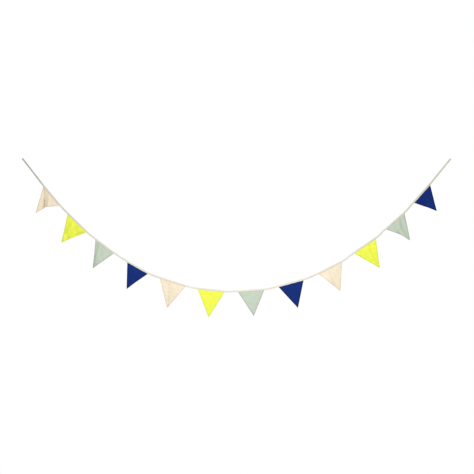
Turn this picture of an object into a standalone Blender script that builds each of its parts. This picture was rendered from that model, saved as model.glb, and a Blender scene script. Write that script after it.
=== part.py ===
"""Fabric bunting: twelve cotton pennants sewn into one long folded tape, hung by its two free ends.

Metres, +Z up, front towards -Y. The origin is the left end of the tape, where it is pinned up.
The tape lies in a swag along +X. Each pennant is a two-ply triangle whose top edge is tucked into the
fold of the tape, and whose lower side, on the sloping stretches, hangs slack and bows out of flat.
"""

import math
from collections import namedtuple

import bpy
from mathutils import Vector

# The tape: one strip folded lengthwise, its fold uppermost.
TAPE_HEIGHT = 0.010
TAPE_WALL = 0.001
LEFT_TAIL = 0.200
LEFT_TILT = 52.5
RIGHT_TAIL = 0.189
RIGHT_TILT = -51.0
FLICK_LENGTH = 0.009  # each free end kicks outwards over this length
FLICK_TILT = 15.0
SWAY_DEPTH = 0.005  # the tape wanders this far forwards and back
SWAY_LENGTH = 0.93

# The pennants: two plies, turned and pressed, with their top edges in the fold.
CLOTH_THICKNESS = 0.001
CLEARANCE = 0.0003
TUCK = 0.008
FLAT_DROP = 0.148  # from the lower edge of the tape to the tip, laid flat
HITCH_AT = 0.6  # how far down the slack side is drawn up most

# How finely the cloth is faceted.
TRIANGLES_PER_SIDE = 10
FOLD_STEPS = 4
TAIL_STEPS = 7
GAP_STEPS = (0.0, 0.18, 0.34, 0.50, 0.66, 0.82, 1.0)
SLOT_OVERRUN = 0.002  # the fold stays open this far past a pennant's corner
SLOT_TAPER = 0.012
PATH_STEP = 0.001

# Lengths in metres, tilts in degrees below the horizontal, going left to right.
# gap: bare tape before the pennant, and gap_tilt its slope      width: of the top edge
# along, drop: where the tip hangs, along the tape from the middle and below its lower edge
# swing: how far the tip hangs forwards (-) or back (+)
# ripple, turns, phase: height, number and shift of the soft upright folds
# curl: how far the slack side bows forwards (-) or back (+)      hitch: how far it is drawn up
Pennant = namedtuple(
    "Pennant", "colour gap gap_tilt tilt width along drop swing ripple turns phase curl hitch"
)
PENNANTS = [
    Pennant("peach", 0.000, 0.0, 50.0, 0.154, 0.019, 0.132, -0.008, 0.0050, 1.20, 200, -0.020, 0.018),
    Pennant("yellow", 0.060, 44.5, 44.0, 0.160, 0.012, 0.145, 0.004, 0.0040, 1.70, 40, 0.014, 0.003),
    Pennant("sage", 0.061, 39.0, 36.5, 0.139, 0.019, 0.141, -0.006, 0.0035, 1.50, 110, -0.012, 0.000),
    Pennant("navy", 0.086, 33.0, 29.5, 0.143, 0.004, 0.138, 0.007, 0.0030, 1.00, 300, 0.010, 0.002),
    Pennant("peach", 0.068, 19.5, 17.5, 0.163, 0.013, 0.151, -0.005, 0.0035, 1.60, 160, -0.006, 0.000),
    Pennant("yellow", 0.064, 13.0, 6.0, 0.164, 0.002, 0.156, 0.006, 0.0020, 1.00, 20, 0.004, 0.000),
    Pennant("sage", 0.070, -2.0, -4.0, 0.160, 0.005, 0.145, -0.007, 0.0025, 1.30, 250, -0.004, 0.000),
    Pennant("navy", 0.077, -14.5, -15.0, 0.158, 0.002, 0.147, 0.005, 0.0020, 0.90, 80, 0.006, 0.000),
    Pennant("peach", 0.086, -22.5, -27.0, 0.160, -0.009, 0.145, -0.008, 0.0040, 1.40, 330, -0.013, 0.002),
    Pennant("yellow", 0.080, -38.5, -34.5, 0.158, -0.001, 0.153, 0.006, 0.0025, 1.10, 130, 0.009, 0.000),
    Pennant("sage", 0.073, -44.5, -41.5, 0.149, -0.010, 0.139, -0.006, 0.0045, 1.80, 270, -0.013, 0.009),
    Pennant("navy", 0.075, -49.5, -48.0, 0.147, -0.017, 0.130, 0.008, 0.0040, 1.10, 60, 0.021, 0.003),
]

# Colour and roughness of each finish.
FINISHES = {
    "tape": ((0.83, 0.81, 0.75), 0.85),
    "peach": ((0.86, 0.74, 0.62), 0.88),
    "yellow": ((0.83, 0.93, 0.06), 0.80),
    "sage": ((0.57, 0.65, 0.55), 0.88),
    "navy": ((0.008, 0.022, 0.165), 0.82),
}


def smooth(value):
    """Ease from 0 to 1, level at both ends."""
    value = min(1.0, max(0.0, value))
    return value * value * (3.0 - 2.0 * value)


def hang_tape():
    """The length of the tape, the knots of its slope, and where each pennant starts on it."""
    knots = [(0.0, FLICK_TILT), (FLICK_LENGTH, LEFT_TILT), (LEFT_TAIL - 2 * TAPE_HEIGHT, LEFT_TILT)]
    starts = []
    reach = LEFT_TAIL
    for number, row in enumerate(PENNANTS):
        if number:
            knots += [(reach + 0.35 * row.gap, row.gap_tilt), (reach + 0.65 * row.gap, row.gap_tilt)]
            reach += row.gap
        starts.append(reach)
        knots += [(reach, row.tilt), (reach + row.width, row.tilt)]
        reach += row.width
    length = reach + RIGHT_TAIL
    knots += [(reach + 2 * TAPE_HEIGHT, RIGHT_TILT), (length - FLICK_LENGTH, RIGHT_TILT)]
    knots.append((length, -FLICK_TILT))
    return length, knots, starts


def between(knots, reach):
    """Read a list of (place, value) knots, straight from one to the next."""
    for (start, low), (end, high) in zip(knots, knots[1:]):
        if reach <= end:
            return low + (high - low) * (reach - start) / (end - start)
    return knots[-1][1]


def sway_knots(length, starts):
    """How far back the tape wanders, straight along each pennant."""
    places = []
    for start, row in zip(starts, PENNANTS):
        places += [start - SLOT_OVERRUN, start + row.width + SLOT_OVERRUN]
    middle = [(place, SWAY_DEPTH * math.sin(2 * math.pi * place / SWAY_LENGTH)) for place in places]
    return [(0.0, 0.0)] + middle + [(length, 0.0)]


class Swag:
    """The line that the middle of the tape follows."""

    def __init__(self):
        self.length, self.knots, self.starts = hang_tape()
        self.sway = sway_knots(self.length, self.starts)
        self.points = [(0.0, 0.0)]
        steps = math.ceil(self.length / PATH_STEP)
        self.step = self.length / steps
        for number in range(steps):
            slope = math.radians(between(self.knots, (number + 0.5) * self.step))
            x, z = self.points[-1]
            self.points.append((x + math.cos(slope) * self.step, z - math.sin(slope) * self.step))

    def frame(self, reach):
        """The point this far along the tape, and the slope there."""
        place = min(max(reach / self.step, 0.0), len(self.points) - 1.000001)
        number = int(place)
        part = place - number
        (x0, z0), (x1, z1) = self.points[number], self.points[number + 1]
        slope = math.radians(between(self.knots, reach))
        return x0 + (x1 - x0) * part, z0 + (z1 - z0) * part, slope

    def at(self, reach, down, depth):
        """A point `down` below the middle of the tape, square to it, and `depth` behind it."""
        x, z, slope = self.frame(reach)
        back = depth + between(self.sway, reach)
        return (x - down * math.sin(slope), back, z - down * math.cos(slope))


def pennant_point(swag, start, row, across, below):
    """Where a point of the flat cloth hangs: `across` from its middle, `below` its top edge."""
    fall = max(0.0, (below - TUCK) / FLAT_DROP)
    level = 0.5 * TAPE_HEIGHT - TUCK + min(below, TUCK) + row.drop * fall
    reach = start + 0.5 * row.width
    slope = math.radians(row.tilt)
    along = across + row.along * fall
    side = 1.0 if row.tilt > 0.0 else -1.0
    slack = 0.5 + side * across / row.width
    mid_x, _, mid_z = swag.at(reach, level, 0.0)
    upright = (along * math.cos(slope) - level * math.sin(slope)) / row.width
    ripple = row.ripple * math.sin(2 * math.pi * row.turns * upright + math.radians(row.phase))
    depth = ripple * smooth(2.0 * fall) * (0.35 + 0.65 * slack)
    depth += row.curl * math.sin(math.pi * fall) ** 2 * slack * slack
    depth += row.swing * fall * fall
    edge = side * across / max(0.5 * row.width * (1.0 - fall), 1e-6)
    lift = row.hitch * min(fall / HITCH_AT, (1.0 - fall) / (1.0 - HITCH_AT)) * smooth(edge)
    return (
        mid_x + along * math.cos(slope),
        depth + between(swag.sway, reach + along),
        mid_z - along * math.sin(slope) + lift,
    )


def pennant_rows(row):
    """The flat cloth as rows of points, from the tucked edge down to the tip."""
    tall = TUCK + FLAT_DROP
    counts = [TRIANGLES_PER_SIDE] + list(range(TRIANGLES_PER_SIDE, -1, -1))
    levels = [0.0] + [TUCK + FLAT_DROP * n / TRIANGLES_PER_SIDE for n in range(TRIANGLES_PER_SIDE + 1)]
    rows = []
    for count, below in zip(counts, levels):
        half = 0.5 * row.width * (1.0 - below / tall)
        rows.append([(half * (2.0 * n / count - 1.0) if count else 0.0, below) for n in range(count + 1)])
    return rows


def cloth_normal(swag, start, row, across, below):
    """Square to the cloth, towards the back."""
    step = 0.001
    here = Vector(pennant_point(swag, start, row, across, below))
    aside = Vector(pennant_point(swag, start, row, across + step, below)) - here
    up = here - Vector(pennant_point(swag, start, row, across, below + step))
    return up.cross(aside).normalized()


def triangle_strip(upper, lower):
    """Triangles between two rows, the lower as long as the upper or one point shorter."""
    faces = []
    for n in range(len(upper) - 1):
        if len(lower) == len(upper):
            faces.append((upper[n], lower[n], lower[n + 1], upper[n + 1]))
            continue
        faces.append((upper[n], lower[n], upper[n + 1]))
        if n + 1 < len(lower):
            faces.append((upper[n + 1], lower[n], lower[n + 1]))
    return faces


def build_pennant(name, swag, start, row):
    """One pennant, a closed skin of the cloth's thickness around its hung surface."""
    points = []
    grid = []
    for line in pennant_rows(row):
        grid.append([])
        for across, below in line:
            grid[-1].append(len(points))
            middle = Vector(pennant_point(swag, start, row, across, below))
            offset = cloth_normal(swag, start, row, across, below) * 0.5 * CLOTH_THICKNESS
            points.append((middle - offset, middle + offset))
    count = len(points)
    front = [face for upper, lower in zip(grid, grid[1:]) for face in triangle_strip(upper, lower)]
    back = [tuple(index + count for index in reversed(face)) for face in front]
    rim = grid[0][::-1] + [line[0] for line in grid[1:]] + [line[-1] for line in grid[-2:0:-1]]
    walls = [(rim[n], rim[n - 1], rim[n - 1] + count, rim[n] + count) for n in range(len(rim))]
    verts = [pair[0] for pair in points] + [pair[1] for pair in points]
    return add_object(name, verts, front + back + walls, row.colour)


def fold_outline(slot):
    """The folded tape's section as (down, depth) pairs: outer face, then inner face, front to back."""
    outer = 0.5 * slot + TAPE_WALL
    centre = outer - 0.5 * TAPE_HEIGHT
    faces = []
    for radius in (outer, 0.5 * slot):
        face = [(0.5 * TAPE_HEIGHT, -radius)]
        for n in range(FOLD_STEPS + 1):
            turn = math.pi * n / FOLD_STEPS
            face.append((centre - radius * math.sin(turn), -radius * math.cos(turn)))
        face.append((0.5 * TAPE_HEIGHT, radius))
        faces.append(face)
    return faces


def tape_stations(swag):
    """Where the tape's sections stand and how wide its fold is open at each."""
    shut = CLEARANCE
    wide = CLOTH_THICKNESS + 2 * CLEARANCE
    stations = [(0.0, shut), (0.5 * FLICK_LENGTH, shut)]
    left = FLICK_LENGTH
    for start, row in zip(swag.starts, PENNANTS):
        right = start - SLOT_TAPER
        steps = GAP_STEPS if left > FLICK_LENGTH else [n / TAIL_STEPS for n in range(TAIL_STEPS + 1)]
        stations += [(left + (right - left) * part, shut) for part in steps]
        stations += [(start - SLOT_OVERRUN, wide), (start + row.width + SLOT_OVERRUN, wide)]
        left = start + row.width + SLOT_TAPER
    right = swag.length - FLICK_LENGTH
    stations += [(left + (right - left) * n / TAIL_STEPS, shut) for n in range(TAIL_STEPS + 1)]
    return stations + [(swag.length - 0.5 * FLICK_LENGTH, shut), (swag.length, shut)]


def build_tape(swag):
    """The tape in one piece: its folded section carried along the swag."""
    verts = []
    for reach, slot in tape_stations(swag):
        for face in fold_outline(slot):
            verts += [swag.at(reach, down, depth) for down, depth in face]
    side = FOLD_STEPS + 3
    ring = [n for n in range(side)] + [n + side for n in reversed(range(side))]
    faces = []
    for first in range(0, len(verts) - 2 * side, 2 * side):
        after = first + 2 * side
        for n in range(len(ring)):
            a, b = ring[n - 1], ring[n]
            faces.append((first + a, after + a, after + b, first + b))
    last = len(verts) - 2 * side
    for n in range(side - 1):
        faces.append((n, n + 1, side + n + 1, side + n))
        faces.append((last + side + n, last + side + n + 1, last + n + 1, last + n))
    return add_object("tape", verts, faces, "tape")


def add_material(finish):
    """The finish as a Principled material, made once and shared."""
    material = bpy.data.materials.get(finish)
    if material is None:
        colour, roughness = FINISHES[finish]
        material = bpy.data.materials.new(finish)
        material.use_nodes = True
        shader = material.node_tree.nodes["Principled BSDF"]
        shader.inputs["Base Color"].default_value = (*colour, 1.0)
        shader.inputs["Roughness"].default_value = roughness
        shader.inputs["Metallic"].default_value = 0.0
    return material


def add_object(name, verts, faces, finish):
    mesh = bpy.data.meshes.new(name)
    mesh.from_pydata([tuple(point) for point in verts], [], faces)
    mesh.update()
    mesh.shade_smooth()
    mesh.set_sharp_from_angle(angle=math.radians(50))
    mesh.materials.append(add_material(finish))
    item = bpy.data.objects.new(name, mesh)
    bpy.context.collection.objects.link(item)
    return item


def main():
    for item in list(bpy.data.objects):
        bpy.data.objects.remove(item, do_unlink=True)
    swag = Swag()
    build_tape(swag)
    for number, (start, row) in enumerate(zip(swag.starts, PENNANTS), 1):
        build_pennant(f"pennant_{number:02d}", swag, start, row)


main()
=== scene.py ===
import math

import bpy
import numpy as np
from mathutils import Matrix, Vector


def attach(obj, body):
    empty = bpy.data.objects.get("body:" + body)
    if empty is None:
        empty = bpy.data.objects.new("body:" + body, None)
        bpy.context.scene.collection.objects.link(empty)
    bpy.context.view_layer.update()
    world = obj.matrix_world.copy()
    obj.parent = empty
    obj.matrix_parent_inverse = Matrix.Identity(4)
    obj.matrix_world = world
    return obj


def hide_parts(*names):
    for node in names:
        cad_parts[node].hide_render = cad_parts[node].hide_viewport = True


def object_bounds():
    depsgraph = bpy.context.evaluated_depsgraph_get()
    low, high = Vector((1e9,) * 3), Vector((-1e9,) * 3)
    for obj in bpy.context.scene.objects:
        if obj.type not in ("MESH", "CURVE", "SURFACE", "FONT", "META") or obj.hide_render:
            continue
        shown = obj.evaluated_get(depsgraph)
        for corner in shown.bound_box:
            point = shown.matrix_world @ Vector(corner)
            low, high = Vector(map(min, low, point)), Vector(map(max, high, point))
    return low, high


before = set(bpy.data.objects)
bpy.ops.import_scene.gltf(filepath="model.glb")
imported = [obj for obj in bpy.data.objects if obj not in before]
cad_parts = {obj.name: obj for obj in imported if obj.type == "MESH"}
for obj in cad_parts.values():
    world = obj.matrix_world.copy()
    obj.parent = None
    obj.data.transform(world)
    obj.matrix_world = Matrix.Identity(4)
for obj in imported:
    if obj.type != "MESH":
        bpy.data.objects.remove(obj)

cadLow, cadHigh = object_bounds()
middle = (cadLow + cadHigh) / 2
print("stage 1: the packed bunting measures", [round(side, 3) for side in cadHigh - cadLow], "m")

# The swag: how the tape hangs between its two free ends. Lengths in metres, tilts in degrees below level.
swagShape = {
    "leftTail": 0.200,  # bare tape before the first pennant
    "leftTilt": 52.5,
    "rightTail": 0.189,
    "rightTilt": -51.0,
    "tailEase": 0.020,
    "flickLength": 0.009,  # each free end kicks outwards
    "flickTilt": 15.0,
    "gapBend": (0.35, 0.65),  # the tape is straight between these shares of a gap
    "swayDepth": 0.005,  # the tape wanders this far forwards and back
    "swayLength": 0.93,
    "overrun": 0.002,
    "step": 0.001,
}

# One row for each pennant, from the left. gap is the bare tape before it and gapTilt its slope.
# along and drop place the tip, from the middle of the width and the lower edge of the tape.
# swing is how far the tip hangs back, and ripple, turns and phase its soft upright folds.
# curl bows the slack side back, and hitch draws it up.
rowKeys = "colour gap gapTilt tilt width along drop swing ripple turns phase curl hitch".split()
rowValues = [
    ("peach", 0.000, 0.0, 50.0, 0.154, 0.019, 0.132, -0.008, 0.0050, 1.20, 200, -0.020, 0.018),
    ("yellow", 0.060, 44.5, 44.0, 0.160, 0.012, 0.145, 0.004, 0.0040, 1.70, 40, 0.014, 0.003),
    ("sage", 0.061, 39.0, 36.5, 0.139, 0.019, 0.141, -0.006, 0.0035, 1.50, 110, -0.012, 0.000),
    ("navy", 0.086, 33.0, 29.5, 0.143, 0.004, 0.138, 0.007, 0.0030, 1.00, 300, 0.010, 0.002),
    ("peach", 0.068, 19.5, 17.5, 0.163, 0.013, 0.151, -0.005, 0.0035, 1.60, 160, -0.006, 0.000),
    ("yellow", 0.064, 13.0, 6.0, 0.164, 0.002, 0.156, 0.006, 0.0020, 1.00, 20, 0.004, 0.000),
    ("sage", 0.070, -2.0, -4.0, 0.160, 0.005, 0.145, -0.007, 0.0025, 1.30, 250, -0.004, 0.000),
    ("navy", 0.077, -14.5, -15.0, 0.158, 0.002, 0.147, 0.005, 0.0020, 0.90, 80, 0.006, 0.000),
    ("peach", 0.086, -22.5, -27.0, 0.160, -0.009, 0.145, -0.008, 0.0040, 1.40, 330, -0.013, 0.002),
    ("yellow", 0.080, -38.5, -34.5, 0.158, -0.001, 0.153, 0.006, 0.0025, 1.10, 130, 0.009, 0.000),
    ("sage", 0.073, -44.5, -41.5, 0.149, -0.010, 0.139, -0.006, 0.0045, 1.80, 270, -0.013, 0.009),
    ("navy", 0.075, -49.5, -48.0, 0.147, -0.017, 0.130, 0.008, 0.0040, 1.10, 60, 0.021, 0.003),
]
rows = [dict(zip(rowKeys, values)) for values in rowValues]


def smooth(value):
    value = np.clip(value, 0.0, 1.0)
    return value * value * (3.0 - 2.0 * value)


def wander(place, period, seed, count=5):
    # an uneven wave between about -1 and 1, the same for the same seed
    random = np.random.default_rng(seed)
    total = 0.0
    for _ in range(count):
        wave = period * random.uniform(0.6, 1.7)
        total = total + np.sin(2 * np.pi * (place / wave + random.random()))
    return total / math.sqrt(count)


def wrinkle(across, below, period, seed, count=6):
    # the same over a surface, in every direction
    random = np.random.default_rng(seed)
    total = 0.0
    for _ in range(count):
        turn = random.uniform(0, np.pi)
        wave = period * random.uniform(0.6, 1.7)
        place = across * math.cos(turn) + below * math.sin(turn)
        total = total + np.sin(2 * np.pi * (place / wave + random.random()))
    return total / math.sqrt(count)


class Swag:
    # the line that the middle of the tape follows, and how far back it wanders
    def __init__(self, shape, rows):
        knots = [(0.0, shape["flickTilt"]), (shape["flickLength"], shape["leftTilt"])]
        knots.append((shape["leftTail"] - shape["tailEase"], shape["leftTilt"]))
        reach = shape["leftTail"]
        for number, row in enumerate(rows):
            if number:
                knots += [(reach + bend * row["gap"], row["gapTilt"]) for bend in shape["gapBend"]]
                reach += row["gap"]
            row["start"] = reach
            reach += row["width"]
            knots += [(row["start"], row["tilt"]), (reach, row["tilt"])]
        self.length = reach + shape["rightTail"]
        knots += [(reach + shape["tailEase"], shape["rightTilt"])]
        knots += [(self.length - shape["flickLength"], shape["rightTilt"])]
        knots.append((self.length, -shape["flickTilt"]))
        self.knots = np.array(knots).T
        ends = []
        for row in rows:
            ends += [row["start"] - shape["overrun"], row["start"] + row["width"] + shape["overrun"]]
        ends = np.array(ends)
        depths = shape["swayDepth"] * np.sin(2 * np.pi * ends / shape["swayLength"])
        self.swayPlace = np.concatenate([[0.0], ends, [self.length]])
        self.swayDepth = np.concatenate([[0.0], depths, [0.0]])
        steps = math.ceil(self.length / shape["step"])
        slope = self.slope((np.arange(steps) + 0.5) * self.length / steps)
        self.place = np.linspace(0.0, self.length, steps + 1)
        self.x = np.concatenate([[0.0], np.cumsum(np.cos(slope))]) * self.length / steps
        self.z = -np.concatenate([[0.0], np.cumsum(np.sin(slope))]) * self.length / steps

    def slope(self, reach):
        return np.radians(np.interp(reach, self.knots[0], self.knots[1]))

    def sway(self, reach):
        return np.interp(reach, self.swayPlace, self.swayDepth)

    def at(self, reach, down):
        # a point below the middle line, square to it, as x and z
        slope = self.slope(reach)
        x = np.interp(reach, self.place, self.x) - down * np.sin(slope)
        return x, np.interp(reach, self.place, self.z) - down * np.cos(slope)

    def sewn(self, reach, ease):
        # 1 where a pennant is sewn in, 0 on bare tape further away than the ease
        share = np.zeros_like(reach)
        for row in rows:
            inside = np.minimum(reach - row["start"], row["start"] + row["width"] - reach)
            share = np.maximum(share, smooth(inside / ease + 1.0))
        return share


swag = Swag(swagShape, rows)
puckerShape = {"height": 0.00032, "period": 0.0105, "seed": 5, "bareShare": 0.35, "ease": 0.012}


def pucker(reach):
    # the seam draws the cloth into small uneven waves, less so where no pennant is sewn in
    shape = puckerShape
    bare = shape["bareShare"]
    waves = shape["height"] * wander(reach, shape["period"], shape["seed"])
    return waves * (bare + (1.0 - bare) * swag.sewn(reach, shape["ease"]))


def addPiece(name, points, faces, material, flatMap, layers=None):
    # a finished mesh in its place, with its flat map in metres
    mesh = bpy.data.meshes.new(name)
    mesh.from_pydata(points.tolist(), [], faces)
    corners = np.zeros(len(mesh.loops), np.int32)
    mesh.loops.foreach_get("vertex_index", corners)
    layer = mesh.uv_layers.new(name="clothMap")
    layer.data.foreach_set("uv", flatMap[corners].astype(np.float32).ravel())
    for layerName, values in (layers or {}).items():
        attribute = mesh.attributes.new(layerName, "FLOAT", "POINT")
        attribute.data.foreach_set("value", values.astype(np.float32))
    mesh.shade_smooth()
    mesh.materials.append(material)
    piece = bpy.data.objects.new(name, mesh)
    bpy.context.scene.collection.objects.link(piece)
    return piece


# Node trees: arithmetic on a Wire adds Math nodes, and every other node comes from Graph.node.
class Wire:
    def __init__(self, graph, socket):
        self.graph = graph
        self.socket = socket

    def math(self, operation, *others):
        return self.graph.node("ShaderNodeMath", {"operation": operation}, [self, *others])

    def output(self, name):
        return Wire(self.graph, self.socket.node.outputs[name])

    def __add__(self, other):
        return self.math("ADD", other)

    def __sub__(self, other):
        return self.math("SUBTRACT", other)

    def __rsub__(self, other):
        return self.graph.node("ShaderNodeMath", {"operation": "SUBTRACT"}, [other, self])

    def __mul__(self, other):
        return self.math("MULTIPLY", other)

    __radd__ = __add__
    __rmul__ = __mul__


class Graph:
    def __init__(self, tree):
        self.tree = tree

    def node(self, kind, settings, values, output=0):
        # values is a list for the first sockets, or a dictionary by socket name or number
        made = self.tree.nodes.new(kind)
        for key, value in settings.items():
            setattr(made, key, value)
        for key, value in values.items() if isinstance(values, dict) else enumerate(values):
            self.fill(made.inputs[key], value)
        return Wire(self, made.outputs[output]) if made.outputs else made

    def fill(self, socket, value):
        if isinstance(value, Wire):
            self.tree.links.new(value.socket, socket)
        else:
            socket.default_value = value

    def mix(self, factor, first, second):
        return self.node("ShaderNodeMix", {"data_type": "RGBA"}, {0: factor, 6: first, 7: second}, 2)

    def noise(self, vector, scale, detail=2.0):
        return self.node("ShaderNodeTexNoise", {}, {"Vector": vector, "Scale": scale, "Detail": detail})

    def ramp(self, value, low, high):
        # 0 at low, 1 at high, eased between
        settings = {"interpolation_type": "SMOOTHSTEP"}
        return self.node("ShaderNodeMapRange", settings, {"Value": value, "From Min": low, "From Max": high})

    def stretch(self, vector, scale):
        return self.node("ShaderNodeVectorMath", {"operation": "MULTIPLY"}, [vector, scale])


def newMaterial(name, sockets):
    material = bpy.data.materials.new(name)
    material.use_nodes = True
    graph = Graph(material.node_tree)
    shader = material.node_tree.nodes["Principled BSDF"]
    for key, value in sockets.items():
        shader.inputs[key].default_value = value
    return material, graph, shader


def shade(colour, share):
    return (*(min(1.0, channel * share) for channel in colour), 1.0)


def plainWeave(u, v, pitch):
    # height of threads that go over and under each other, 0 to 1
    warp = (u * (math.pi / pitch)).math("SINE")
    weft = (v * (math.pi / pitch)).math("SINE")
    over = warp * weft * 0.5 + 0.5
    return (warp.math("ABSOLUTE") * over).math("MAXIMUM", weft.math("ABSOLUTE") * (1 - over))


# The cotton of the pennants. Each colour has a second tone that it drifts towards in soft patches.
cottonLook = {
    "pitch": 0.00062,  # from one thread to the next
    "threadHeight": 0.00007,
    "slubHeight": 0.00010,
    "roughness": 0.88,
    "sheenRoughness": 0.5,
    "patchScale": 60.0,  # of the soft patches, per metre
    "patchEdges": (0.36, 0.64),
    "toneWidth": 0.6,  # of the uneven threads, in threads, and how often they change along their length
    "warpChange": 12.0,
    "weftChange": 14.0,
    "threadShine": 0.08,  # how much smoother the tops of the threads are
    "threadLight": 1.45,  # the lightest and darkest threads, as a share of the main colour
    "threadDark": 0.60,
    "gapShadeDark": 0.55,
    "gapShadeShows": 0.30,  # how much painted shade darkens the gaps between the threads
    # this share and each colour's edge tone below are painted shade, a darker band along the pressed edges
    "edgeShadeShows": 1.0,
    "peach": {"main": (0.770, 0.690, 0.520), "second": (0.780, 0.660, 0.500),
              "edge": (0.720, 0.580, 0.460), "threads": 0.10,
              "specular": 0.15, "sheen": 0.10, "tint": (1.0, 0.94, 0.86, 1.0)},
    "yellow": {"main": (0.790, 0.830, 0.084), "second": (0.750, 0.820, 0.066),
               "edge": (0.660, 0.740, 0.070), "threads": 0.10,
               "specular": 0.12, "sheen": 0.06, "tint": (1.0, 1.0, 0.45, 1.0)},
    "sage": {"main": (0.472, 0.550, 0.436), "second": (0.455, 0.536, 0.436),
             "edge": (0.385, 0.440, 0.375), "threads": 0.11,
             "specular": 0.15, "sheen": 0.10, "tint": (0.9, 1.0, 0.92, 1.0)},
    "navy": {"main": (0.0068, 0.0245, 0.1600), "second": (0.0056, 0.0215, 0.1480),
             "edge": (0.003, 0.011, 0.090), "threads": 0.20,
             "specular": 0.08, "sheen": 0.03, "tint": (0.45, 0.6, 1.0, 1.0)},
}


def cottonMaterial(name):
    look, tones = cottonLook, cottonLook[name]
    main = tones["main"]
    sockets = {"Specular IOR Level": tones["specular"], "Sheen Weight": tones["sheen"],
               "Sheen Roughness": look["sheenRoughness"], "Sheen Tint": tones["tint"]}
    material, graph, shader = newMaterial("cotton_" + name, sockets)
    flat = graph.node("ShaderNodeUVMap", {"uv_map": "clothMap"}, {})
    u = graph.node("ShaderNodeSeparateXYZ", {}, [flat])
    v = u.output("Y")
    pitch = look["pitch"]
    weave = plainWeave(u, v, pitch)
    # single threads run a little thick or thin, light or dark, for some way
    wide = look["toneWidth"] / pitch
    warpTone = graph.noise(graph.stretch(flat, (wide, look["warpChange"], 0.0)), 1.0, 1.0)
    weftTone = graph.noise(graph.stretch(flat, (look["weftChange"], wide, 0.0)), 1.0, 1.0)
    tone = warpTone * 0.5 + weftTone * 0.5
    patches = graph.ramp(graph.noise(flat, look["patchScale"], 3.0), *look["patchEdges"])
    colour = graph.mix(patches, shade(main, 1), shade(tones["second"], 1))
    # painted shade: a darker band along the pressed edges, over the seam allowance, as a base colour
    seam = graph.node("ShaderNodeAttribute", {"attribute_name": "seam"}, {}, "Fac")
    colour = graph.mix(seam * look["edgeShadeShows"], colour, shade(tones["edge"], 1))
    light, dark = graph.ramp(tone, 0.50, 0.66), graph.ramp(tone, 0.50, 0.34)
    colour = graph.mix(light * tones["threads"] * 2, colour, shade(main, look["threadLight"]))
    colour = graph.mix(dark * tones["threads"] * 2, colour, shade(main, look["threadDark"]))
    # painted shade: the gaps between the threads are darkened in the base colour
    threadGapShade = (1 - graph.ramp(weave, 0.05, 0.50)) * look["gapShadeShows"]
    graph.fill(shader.inputs["Base Color"], graph.mix(threadGapShade, colour, shade(main, look["gapShadeDark"])))
    graph.fill(shader.inputs["Roughness"], look["roughness"] - weave * look["threadShine"])
    height = weave * look["threadHeight"] + tone * look["slubHeight"]
    bump = graph.node("ShaderNodeBump", {}, {"Strength": 1.0, "Distance": 1.0, "Height": height})
    graph.fill(shader.inputs["Normal"], bump)
    return material


# The tape: one strip folded lengthwise over the pennants' top edges, its fold uppermost.
tapeShape = {
    "height": 0.010,
    "wall": 0.0008,
    "openHalf": 0.00058,  # half the space in the fold where a pennant is in it
    "shutHalf": 0.00012,
    "openEase": 0.012,
    "step": 0.0018,  # from one section to the next
    "stitchLevel": 0.78,  # where the seam runs, as a share of the way to the lower edge
    "groove": 0.00020,  # the seam pulls the tape in this far
    "fullness": 0.00012,
    "grooveBreadth": 0.09,  # as a share of the way down, like stitchLevel
    "heightWander": 0.025,  # how much the folded height varies, as a share of it
    "heightPeriod": 0.060,
    "foldShare": 0.12,  # in the flat map, half the fold's share of the height, and the map's scale
    "mapScale": 0.95,
    "edgeWander": 0.00030,
    "frontEdgePeriod": 0.026,
    "backEdgePeriod": 0.031,
    "flatWidth": 0.0205,
    "leftTwist": 34.0,  # degrees that each bare length turns
    "rightTwist": -16.0,
    "gapTwist": 9.0,
    "gapTwistPeriod": 0.33,
    "twistStart": 0.012,  # how far past a pennant the turn of a tail starts, and how long it takes
    "twistEase": 0.075,
    "gapTwistEase": 0.022,
}


def tapeTwist(reach):
    # the sewn lengths hang upright, and the bare ones turn a little
    shape = tapeShape
    first, last = rows[0]["start"], rows[-1]["start"] + rows[-1]["width"]
    start, ease = shape["twistStart"], shape["twistEase"]
    twist = shape["leftTwist"] * smooth((first - start - reach) / ease)
    twist = twist + shape["rightTwist"] * smooth((reach - last - start) / ease)
    bare = 1.0 - swag.sewn(reach, shape["gapTwistEase"])
    inside = (reach > first) & (reach < last)
    turn = shape["gapTwist"] * wander(reach, shape["gapTwistPeriod"], 8, 3)
    return np.radians(twist + inside * bare * turn)


def tapePoint(reach, level, layer, angle, rim=0.0, proud=0.0):
    # level 0 is the fold and 1 the lower edge, layer 0 the inner face and 1 the outer,
    # and the angle goes from 0 at the front over the fold to pi at the back
    shape = tapeShape
    sewn = swag.sewn(reach, shape["openEase"])
    half = shape["shutHalf"] + (shape["openHalf"] - shape["shutHalf"]) * sewn
    outer = half + shape["wall"]
    tall = shape["height"] * (1.0 + shape["heightWander"] * wander(reach, shape["heightPeriod"], 21))
    offSeam = (level - shape["stitchLevel"]) / shape["grooveBreadth"]
    pull = np.exp(-(offSeam ** 2)) * shape["groove"]
    radius = half + layer * (shape["wall"] - pull + shape["fullness"] * np.sin(np.pi * level)) + proud
    frontEdge = wander(reach, shape["frontEdgePeriod"], 31)
    backEdge = wander(reach, shape["backEdgePeriod"], 32)
    edge = np.where(angle < 0.5 * np.pi, frontEdge, backEdge)
    down = outer - 0.5 * shape["height"] - radius * np.sin(angle) + level * (tall - outer)
    down = down + rim * 0.5 * shape["wall"] + edge * shape["edgeWander"] * level ** 4
    depth = -radius * np.cos(angle)
    twist = tapeTwist(reach)
    x, z = swag.at(reach, down * np.cos(twist) - depth * np.sin(twist))
    back = down * np.sin(twist) + depth * np.cos(twist) + swag.sway(reach) + pucker(reach)
    return np.stack(np.broadcast_arrays(x, back, z), axis=-1)


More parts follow.
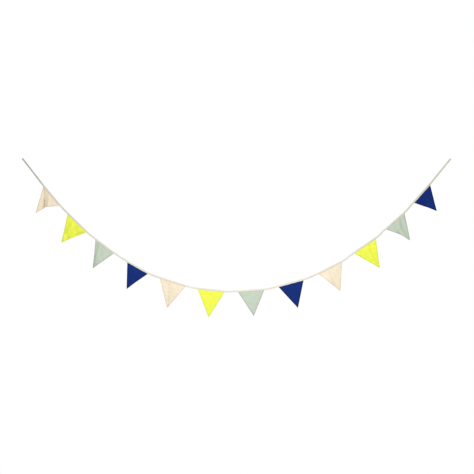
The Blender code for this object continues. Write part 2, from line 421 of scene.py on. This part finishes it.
def tapeProfile():
    # the section's points in order: up the front, over the fold, down the back, and the same inside
    levels = [1.0, 0.93, 0.86, 0.78, 0.70, 0.52, 0.30]
    turns = [math.pi * n / 6 for n in range(7)]
    face = [(level, 0.0) for level in levels] + [(0.0, turn) for turn in turns]
    face += [(level, math.pi) for level in reversed(levels)]
    rims = [(1.0, 0.5 + 0.5 * math.cos(math.pi * n / 4), math.sin(math.pi * n / 4)) for n in (1, 2, 3)]
    points = [(level, 1.0, angle, 0.0) for level, angle in face]
    points += [(level, layer, math.pi, rim) for level, layer, rim in rims]
    points += [(level, 0.0, angle, 0.0) for level, angle in reversed(face)]
    points += [(level, layer, 0.0, rim) for level, layer, rim in reversed(rims)]
    return np.array(points), len(face), len(rims)


def buildTape(material):
    shape = tapeShape
    profile, faceCount, rimCount = tapeProfile()
    count = len(profile)
    sections = math.ceil(swag.length / shape["step"])
    reach = np.linspace(0.0, swag.length, sections + 1)[:, None]
    level, layer, angle, rim = profile.T
    points = tapePoint(reach, level, layer, angle, rim).reshape(-1, 3)
    first = np.arange(sections)[:, None] * count
    ring = np.arange(count)
    after = (ring + 1) % count
    faces = np.stack([first + ring, first + count + ring, first + count + after, first + after], axis=-1)
    faces = faces.reshape(-1, 4).tolist()
    last = sections * count
    inner = [2 * faceCount + rimCount - 1 - n for n in range(faceCount)]
    for n in range(faceCount - 1):
        faces.append([n, n + 1, inner[n + 1], inner[n]])
        faces.append([last + n + 1, last + n, last + inner[n], last + inner[n + 1]])
    backRim = [faceCount - 1 + n for n in range(rimCount + 2)]
    frontRim = [(2 * faceCount + rimCount - 1 + n) % count for n in range(rimCount + 2)]
    for edge in (backRim, frontRim):
        faces.append(edge)
        faces.append([last + n for n in reversed(edge)])
    around = np.where(angle < 1.0, level, np.where(angle > 2.0, -level, np.cos(angle) * shape["foldShare"]))
    around = np.broadcast_to(around * shape["height"] * shape["mapScale"], (sections + 1, count))
    along = np.broadcast_to(reach, (sections + 1, count))
    flatMap = np.stack([around, along], axis=-1).reshape(-1, 2)
    return addPiece("foldedTape", points, faces, material, flatMap)


tapeLook = {
    "main": (0.680, 0.635, 0.545),
    "second": (0.650, 0.620, 0.530),
    "shadedTapeTone": (0.460, 0.490, 0.390),  # painted shade: the tape darkens towards both ends, where less light falls
    "pitch": 0.00055,
    "threadHeight": 0.00006,
    "roughness": 0.86,
    "threadShine": 0.08,
    "patchScale": 40.0,
    "patchEdges": (0.36, 0.64),
    # painted shade in the gaps between the threads, as for the pennants
    "gapShadeDark": 0.55,
    "gapShadeShows": 0.28,
    # painted shade, darker towards both ends where less light falls: how much it darkens each tail, and the
    # lengths of tape from its end between which that fades in, then the same for the tape around it
    "leftShadeFade": ((0.8, 0.24, 0.15), (0.2, 1.20, 0.30)),
    "rightShadeFade": ((0.25, 0.26, 0.12), (0.3, 1.20, 0.45)),
}


def tapeMaterial():
    look = tapeLook
    sockets = {"Specular IOR Level": 0.15, "Sheen Weight": 0.08, "Sheen Roughness": 0.5}
    material, graph, shader = newMaterial("tape_cotton", sockets)
    flat = graph.node("ShaderNodeUVMap", {"uv_map": "clothMap"}, {})
    u = graph.node("ShaderNodeSeparateXYZ", {}, [flat])
    v = u.output("Y")
    # the strip is cut on the bias, so its threads run slantwise
    weave = plainWeave((u + v) * math.sqrt(0.5), (v - u) * math.sqrt(0.5), look["pitch"])
    patches = graph.ramp(graph.noise(flat, look["patchScale"], 3.0), *look["patchEdges"])
    colour = graph.mix(patches, shade(look["main"], 1), shade(look["second"], 1))
    # painted shade: the base colour darkens towards both ends of the tape, where less light falls
    left = [graph.ramp(v, far, near) * share for share, far, near in look["leftShadeFade"]]
    right = [graph.ramp(v, swag.length - far, swag.length - near) * share
             for share, far, near in look["rightShadeFade"]]
    paintedEndShade = (left[0] + left[1]).math("MAXIMUM", right[0] + right[1])
    colour = graph.mix(paintedEndShade, colour, shade(look["shadedTapeTone"], 1))
    # painted shade: the gaps between the threads are darkened in the base colour
    threadGapShade = (1 - graph.ramp(weave, 0.05, 0.50)) * look["gapShadeShows"]
    graph.fill(shader.inputs["Base Color"], graph.mix(threadGapShade, colour, shade(look["main"], look["gapShadeDark"])))
    graph.fill(shader.inputs["Roughness"], look["roughness"] - weave * look["threadShine"])
    height = weave * look["threadHeight"]
    bump = graph.node("ShaderNodeBump", {}, {"Strength": 1.0, "Distance": 1.0, "Height": height})
    graph.fill(shader.inputs["Normal"], bump)
    return material


# The pennants: two plies turned out and pressed, with the seam allowance inside along both slants.
pennantShape = {
    "tuck": 0.008,  # how much of the top edge is inside the fold of the tape
    "flatDrop": 0.148,
    "hitchAt": 0.6,
    "tautRipple": 0.35,  # the taut side's share of the upright folds
    "grid": 100,  # triangles along each side
    "halfThin": 0.00027,  # half the thickness in the middle
    "halfSeam": 0.00044,  # and over the seam allowance
    "seamWidth": 0.0062,
    "seamEase": 0.0012,  # half the width of the step from the seam allowance to the middle
    "edgeShare": 0.45,  # the pressed edge is this much of the thickness, and fills out over edgeEase
    "edgeEase": 0.0016,
    "roll": 0.00022,  # how far the rounded edge stands out
    "puckerFade": 0.014,
    "edgeWave": 0.00050,
    "edgeWavePeriod": 0.021,
    "edgeWaveFade": 0.007,
    "edgeWaveLean": 0.4,
    "wrinkle": 0.00045,
    "wrinklePeriod": 0.034,
    "freeBelow": 1 / 12,  # share of the drop past which the cloth hangs free of the seam
    "creaseBelow": 1 / 5,
}

# Soft creases of single pennants: where each starts and ends, as a share of the width from the middle
# and of the way down, then how far it stands back (+) or forwards (-) and how broad it is, in metres.
# The first pennant's deep fold runs down to the kink of its slack side.
creaseRunOn = 0.2  # past its two ends a crease runs on for this share of its length
creases = {
    1: [(-0.40, 0.04, -0.06, 0.50, 0.0060, 0.010), (-0.06, 0.45, 0.12, 0.70, 0.0095, 0.0085),
        (0.44, 0.02, 0.33, 0.50, -0.0050, 0.014), (-0.26, 0.40, 0.00, 0.95, -0.0050, 0.012),
        (-0.10, 0.02, 0.18, 0.42, -0.0055, 0.011)],
    2: [(0.10, 0.00, -0.02, 0.55, 0.0055, 0.009), (0.30, 0.02, 0.14, 0.50, -0.0045, 0.008),
        (-0.12, 0.05, -0.04, 0.70, -0.0040, 0.010), (0.38, 0.00, 0.26, 0.35, 0.0040, 0.007)],
    3: [(-0.36, 0.00, -0.04, 0.95, 0.0060, 0.008), (0.12, 0.00, 0.10, 0.60, -0.0035, 0.012)],
    4: [(-0.10, 0.05, 0.02, 0.70, -0.0025, 0.012)],
    5: [(0.10, 0.00, 0.04, 0.70, -0.0040, 0.011), (-0.16, 0.02, -0.02, 0.85, 0.0035, 0.010),
        (0.26, 0.00, 0.16, 0.45, 0.0030, 0.009)],
    6: [(-0.05, 0.00, -0.01, 0.60, 0.0020, 0.012)],
    7: [(0.10, 0.05, 0.03, 0.70, -0.0020, 0.012)],
    8: [(0.12, 0.00, 0.06, 0.60, 0.0022, 0.012)],
    9: [(-0.08, 0.00, 0.00, 0.80, 0.0028, 0.012), (0.20, 0.05, 0.08, 0.70, -0.0026, 0.010)],
    10: [(0.16, 0.00, 0.06, 0.70, 0.0040, 0.010), (-0.10, 0.02, 0.00, 0.70, -0.0036, 0.011)],
    11: [(0.22, 0.00, 0.02, 0.85, 0.0036, 0.008), (0.06, 0.00, -0.08, 0.70, -0.0034, 0.009),
         (-0.10, 0.02, -0.18, 0.50, 0.0030, 0.009), (0.34, 0.02, 0.12, 0.70, -0.0030, 0.008)],
    12: [(0.02, 0.05, 0.02, 0.80, -0.0035, 0.011)],
}


def creaseDepth(number, across, below, width):
    total = 0.0
    tall = pennantShape["flatDrop"]
    for x0, y0, x1, y1, height, breadth in creases.get(number, []):
        start = np.array([x0 * width, y0 * tall])
        run = np.array([x1 * width, y1 * tall]) - start
        offX, offY = across - start[0], below - pennantShape["tuck"] - start[1]
        share = (offX * run[0] + offY * run[1]) / (run @ run)
        share = np.clip(share, -creaseRunOn, 1.0 + creaseRunOn)
        away = np.hypot(offX - share * run[0], offY - share * run[1]) / breadth
        total = total + height * np.exp(-away * away)
    return total


def seamDistance(row, across, below):
    # from a point of the flat cloth to the nearer slanted side
    tall = pennantShape["tuck"] + pennantShape["flatDrop"]
    half = 0.5 * row["width"]
    return (half * (1.0 - below / tall) - np.abs(across)) * tall / math.hypot(tall, half)


def hangPennant(number, row, across, below):
    # where a point of the flat cloth hangs: across from its middle, below its top edge
    shape = pennantShape
    fall = np.maximum(0.0, (below - shape["tuck"]) / shape["flatDrop"])
    level = 0.5 * tapeShape["height"] - shape["tuck"] + np.minimum(below, shape["tuck"]) + row["drop"] * fall
    reach = row["start"] + 0.5 * row["width"]
    slope = math.radians(row["tilt"])
    along = across + row["along"] * fall
    side = 1.0 if row["tilt"] > 0.0 else -1.0
    slack = 0.5 + side * across / row["width"]
    x, z = swag.at(np.full_like(across, reach), level)
    upright = (along * math.cos(slope) - level * math.sin(slope)) / row["width"]
    ripple = row["ripple"] * np.sin(2 * np.pi * row["turns"] * upright + math.radians(row["phase"]))
    taut = shape["tautRipple"]
    depth = ripple * smooth(2.0 * fall) * (taut + (1.0 - taut) * slack)
    depth = depth + row["curl"] * np.sin(np.pi * np.minimum(fall, 1.0)) ** 2 * slack * slack
    depth = depth + row["swing"] * fall * fall
    edge = side * across / np.maximum(0.5 * row["width"] * (1.0 - fall), 1e-6)
    hitchAt = shape["hitchAt"]
    lift = row["hitch"] * np.minimum(fall / hitchAt, (1.0 - fall) / (1.0 - hitchAt)) * smooth(edge)
    # what the cloth itself adds: puckers below the seam, waves along the slants, fine wrinkles and creases
    free = smooth(fall / shape["freeBelow"])
    nearSeam = np.exp(-np.maximum(below - shape["tuck"], 0) / shape["puckerFade"])
    depth = depth + pucker(reach + along) * nearSeam
    nearEdge = np.exp(-np.maximum(seamDistance(row, across, below), 0.0) / shape["edgeWaveFade"])
    place = below + shape["edgeWaveLean"] * across
    waves = wander(place, shape["edgeWavePeriod"], 100 + number) * shape["edgeWave"]
    depth = depth + waves * nearEdge * free
    depth = depth + wrinkle(across, below, shape["wrinklePeriod"], 200 + number) * shape["wrinkle"] * free
    folds = creaseDepth(number, across, below, row["width"])
    depth = depth + folds * smooth(fall / shape["creaseBelow"])
    return np.stack([x + along * math.cos(slope), depth + swag.sway(reach + along),
                     z - along * math.sin(slope) + lift], axis=-1)


def buildPennant(number, row, material):
    shape = pennantShape
    grid = shape["grid"]
    tall = shape["tuck"] + shape["flatDrop"]
    across, below, index = [], [], []
    for line in range(grid):  # the last row keeps two points, so the tip is a little blunt
        points = grid - line + 1
        index.append(np.arange(points) + sum(len(part) for part in across))
        across.append(0.5 * row["width"] * (1.0 - line / grid) * np.linspace(-1.0, 1.0, points))
        below.append(np.full(points, tall * line / grid))
    across, below = np.concatenate(across), np.concatenate(below)
    count = len(across)
    nudge = 0.0004  # how far apart the points are that give the cloth's direction
    place = hangPennant(number, row, across, below)
    aside = hangPennant(number, row, across + nudge, below) - place
    up = place - hangPennant(number, row, across, below + nudge)
    square = np.cross(up, aside)
    square /= np.linalg.norm(square, axis=1)[:, None]
    inset = seamDistance(row, across, below)
    ease, share = shape["seamEase"], shape["edgeShare"]
    seam = smooth((shape["seamWidth"] + ease - inset) / (2 * ease))
    half = shape["halfThin"] + (shape["halfSeam"] - shape["halfThin"]) * seam
    half = half * (share + (1.0 - share) * smooth(inset / shape["edgeEase"]))
    offset = square * half[:, None]
    front = []
    for upper, lower in zip(index, index[1:]):
        front += np.stack([upper[:-1], lower, upper[1:]], axis=-1).tolist()
        front += np.stack([upper[1:-1], lower[:-1], lower[1:]], axis=-1).tolist()
    back = [[corner + count for corner in reversed(face)] for face in front]
    rim = list(index[0][::-1]) + [line[0] for line in index[1:]] + [line[-1] for line in index[:0:-1]]
    rim = np.array(rim)
    # the edge turns over in a small roll
    inward = np.roll(place[rim], 1, axis=0) - np.roll(place[rim], -1, axis=0)
    outward = np.cross(inward, square[rim])
    outward /= np.linalg.norm(outward, axis=1)[:, None]
    roll = place[rim] + outward * shape["roll"]
    before = np.roll(np.arange(len(rim)), 1)
    walls = []
    for n, last in enumerate(before):
        walls.append([rim[n], rim[last], 2 * count + last, 2 * count + n])
        walls.append([2 * count + n, 2 * count + last, rim[last] + count, rim[n] + count])
    faces = front + back + [[int(corner) for corner in face] for face in walls]
    points = np.concatenate([place - offset, place + offset, roll])
    shift = np.array([0.37 * number, 0.23 * number])
    flatMap = np.stack([across, below], axis=-1) + shift
    flatMap = np.concatenate([flatMap, flatMap, flatMap[rim]])
    # the seam band also carries the painted edge shade of the cotton material
    layers = {"seam": np.concatenate([seam, seam, seam[rim]])}
    return addPiece(f"pennantCloth{number:02d}", points, faces, material, flatMap, layers)


# The seam: one row of lockstitch, seen as short threads on both faces of the tape.
stitchShape = {
    "Pitch": 0.0030,
    "Stitch Length": 0.0025,
    "Thread Width": 0.00040,
    "Unevenness": 0.10,
    "Seed": 11,
}
threadLift = 0.00006  # the middle of the thread stands this far off the tape


def threadMaterial():
    sockets = {"Specular IOR Level": 0.3, "Sheen Weight": 0.1, "Sheen Roughness": 0.4}
    material, graph, shader = newMaterial("sewing_thread", sockets)
    place = graph.node("ShaderNodeTexCoord", {}, {}, "Object")
    tone = graph.ramp(graph.noise(place, 900.0, 2.0), 0.35, 0.65)
    graph.fill(shader.inputs["Base Color"], graph.mix(tone, (0.66, 0.64, 0.57, 1), (0.76, 0.74, 0.68, 1)))
    graph.fill(shader.inputs["Roughness"], 0.55 + tone * 0.15)
    return material


def stitchTree():
    tree = bpy.data.node_groups.new("stitchRow", "GeometryNodeTree")
    inputs = {"Path": "Geometry", "Pitch": "Float", "Stitch Length": "Float", "Thread Width": "Float",
              "Unevenness": "Float", "Seed": "Int", "Thread": "Material"}
    for name, kind in inputs.items():
        tree.interface.new_socket(name, in_out="INPUT", socket_type="NodeSocket" + kind)
    tree.interface.new_socket("Stitches", in_out="OUTPUT", socket_type="NodeSocketGeometry")
    graph = Graph(tree)
    given = graph.node("NodeGroupInput", {}, {})
    size = {name: given.output(name) for name in inputs}
    path = graph.node("GeometryNodeMeshToCurve", {}, {"Mesh": size["Path"]})
    spots = graph.node("GeometryNodeResampleCurve", {"mode": "LENGTH"},
                       {"Curve": path, "Length": size["Pitch"]})
    bead = graph.node("GeometryNodeMeshUVSphere", {}, {"Segments": 8, "Rings": 5, "Radius": 0.5})
    along = graph.node("GeometryNodeInputTangent", {}, {})
    turn = graph.node("FunctionNodeAlignRotationToVector", {"axis": "Z"}, {"Vector": along})
    least, most = 1 - size["Unevenness"], 1 + size["Unevenness"]
    random = {"data_type": "FLOAT"}
    uneven = [graph.node("FunctionNodeRandomValue", random, {2: least, 3: most, 8: size["Seed"] + n}, 1)
              for n in range(2)]
    thick = size["Thread Width"] * uneven[0]
    long = size["Stitch Length"] * uneven[1]
    scale = graph.node("ShaderNodeCombineXYZ", {}, [thick, thick, long])
    placed = graph.node("GeometryNodeInstanceOnPoints", {},
                        {"Points": spots, "Instance": bead, "Rotation": turn, "Scale": scale})
    real = graph.node("GeometryNodeRealizeInstances", {}, {"Geometry": placed})
    soft = graph.node("GeometryNodeSetShadeSmooth", {}, {"Geometry": real})
    done = graph.node("GeometryNodeSetMaterial", {}, {"Geometry": soft, "Material": size["Thread"]})
    graph.node("NodeGroupOutput", {}, {"Stitches": done})
    return tree


def buildStitches(material):
    reach = np.arange(0.0035, swag.length - 0.0030, 0.0010)
    lines = []
    for angle in (0.0, math.pi):
        level = np.full_like(reach, tapeShape["stitchLevel"])
        lines.append(tapePoint(reach, level, 1.0, angle, 0.0, threadLift))
    edges = [(n, n + 1) for n in range(len(reach) - 1)]
    edges += [(a + len(reach), b + len(reach)) for a, b in edges]
    mesh = bpy.data.meshes.new("stitchPath")
    mesh.from_pydata(np.concatenate(lines).tolist(), edges, [])
    holder = bpy.data.objects.new("stitchPath", mesh)
    bpy.context.scene.collection.objects.link(holder)
    modifier = holder.modifiers.new("stitchRow", "NODES")
    modifier.node_group = stitchTree()
    wanted = {**stitchShape, "Thread": material}
    for socket in modifier.node_group.interface.items_tree:
        if socket.in_out == "INPUT" and socket.name in wanted:
            modifier[socket.identifier] = wanted[socket.name]
    bpy.context.view_layer.update()
    evaluated = holder.evaluated_get(bpy.context.evaluated_depsgraph_get())
    threads = bpy.data.meshes.new_from_object(evaluated)
    threads.materials.clear()
    threads.materials.append(material)
    threads.polygons.foreach_set("material_index", np.zeros(len(threads.polygons), np.int32))
    piece = bpy.data.objects.new("tapeStitches", threads)
    bpy.context.scene.collection.objects.link(piece)
    bpy.data.objects.remove(holder)
    return piece


tape = buildTape(tapeMaterial())
stitches = buildStitches(threadMaterial())
print("stage 2: the tape has", len(tape.data.polygons), "faces and its seam", len(stitches.data.polygons))

cottons = {name: cottonMaterial(name) for name in ("peach", "yellow", "sage", "navy")}
pennants = [buildPennant(number, row, cottons[row["colour"]]) for number, row in enumerate(rows, 1)]
print("stage 3:", len(pennants), "pennants,", sum(len(piece.data.polygons) for piece in pennants), "faces")

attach(tape, "root")
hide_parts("tape")
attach(stitches, "root")
tall = pennantShape["tuck"] + pennantShape["flatDrop"]
for number, (row, piece) in enumerate(zip(rows, pennants), 1):
    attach(piece, "root")
    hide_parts(f"pennant_{number:02d}")
    "cloth_" + row["colour"]
    0.5 * row["width"] * tall

# The studio: a surround white behind the bunting and dimmer in front, one soft lamp, a pale floor below.
studio = {
    "surroundBehind": 1.0,
    "surroundBefore": 0.58,
    "surroundFade": (-0.1, 0.6),  # how far towards the back a direction points, from dim to white
    "lampPower": 27.0,
    "lampSize": 1.2,
    "lampPlace": (0.02, -1.40, 0.62),  # from the middle of the bunting
    "floorLevel": -2.3,
    "floorCorners": ((-8.0, -9.0), (10.0, -9.0), (10.0, 2.0), (-8.0, 2.0)),
    "floorColour": (0.80, 0.80, 0.79, 1.0),
    "lens": 85.0,
    "viewWidth": 2.7516,  # what the camera takes in at the bunting
    "viewShift": (0.0033, 0.0038),
}
scene = bpy.context.scene
scene.view_settings.view_transform = "Standard"
world = bpy.data.worlds.new("surround")
world.use_nodes = True
room = Graph(world.node_tree)
facing = room.node("ShaderNodeTexCoord", {}, {}, "Generated")
behind = room.ramp(room.node("ShaderNodeSeparateXYZ", {}, [facing], "Y"), *studio["surroundFade"])
light = behind * (studio["surroundBehind"] - studio["surroundBefore"]) + studio["surroundBefore"]
wall = world.node_tree.nodes["Background"]
wall.inputs["Color"].default_value = (1.0, 1.0, 1.0, 1.0)
room.fill(wall.inputs["Strength"], light)
scene.world = world

lamp = bpy.data.objects.new("softLamp", bpy.data.lights.new("softLamp", "AREA"))
lamp.data.energy = studio["lampPower"]
lamp.data.size = studio["lampSize"]
lamp.location = middle + Vector(studio["lampPlace"])
lamp.rotation_euler = (middle - lamp.location).to_track_quat("-Z", "Y").to_euler()
scene.collection.objects.link(lamp)

floorMesh = bpy.data.meshes.new("floor")
floorPoints = [(x, y, studio["floorLevel"]) for x, y in studio["floorCorners"]]
floorMesh.from_pydata(floorPoints, [], [(0, 1, 2, 3)])
floorPaint, _, floorShader = newMaterial("floor_paint", {"Roughness": 0.9})
floorShader.inputs["Base Color"].default_value = studio["floorColour"]
floorMesh.materials.append(floorPaint)
floor = bpy.data.objects.new("floor", floorMesh)
scene.collection.objects.link(floor)

camera = bpy.data.objects.new("camera", bpy.data.cameras.new("camera"))
camera.data.lens = studio["lens"]
away = studio["viewWidth"] * studio["lens"] / camera.data.sensor_width
aimX, aimZ = middle.x + studio["viewShift"][0], middle.z + studio["viewShift"][1]
camera.location = (aimX, -away, aimZ)
camera.rotation_euler = (math.pi / 2, 0.0, 0.0)
scene.collection.objects.link(camera)
scene.camera = camera
print("stage 4: the camera stands", round(away, 3), "m away")
